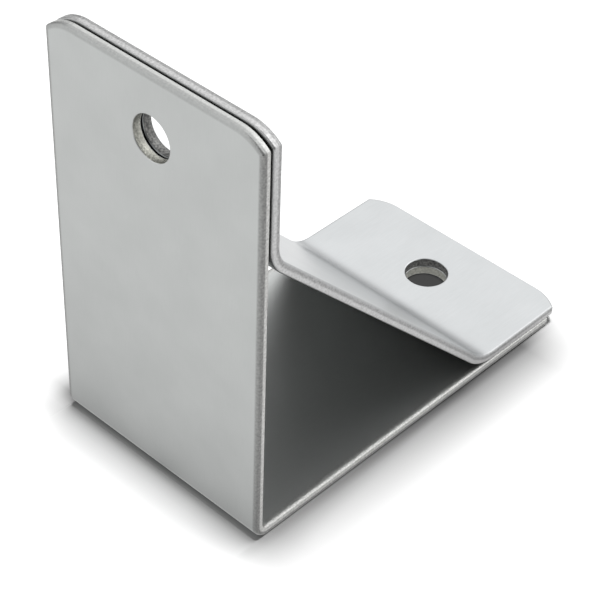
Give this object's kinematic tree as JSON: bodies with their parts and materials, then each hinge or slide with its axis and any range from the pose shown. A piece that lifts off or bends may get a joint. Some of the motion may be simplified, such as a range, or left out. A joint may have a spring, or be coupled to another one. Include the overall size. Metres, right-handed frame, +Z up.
{
  "type": "braced angle bracket",
  "caption": "Right-angle sheet bracket stiffened by a nested sloping brace, with a bolt hole through the end of each leg.",
  "frame": {"origin": "bottom centre of the whole bracket, on the surface that the base leg lies on", "axes": "+Z up along the upright leg; +Y from the upright leg towards the base leg's free end; X across the strips"},
  "size_m": [0.04, 0.07, 0.07],
  "materials": {
    "angle_sheet": "satin stainless, sheared edges tumbled",
    "brace_sheet": "satin stainless, sheared edges tumbled"
  },
  "bodies": {
    "root": {"outer_angle": "angle_sheet", "inner_brace": "brace_sheet"}
  },
  "joints": []
}
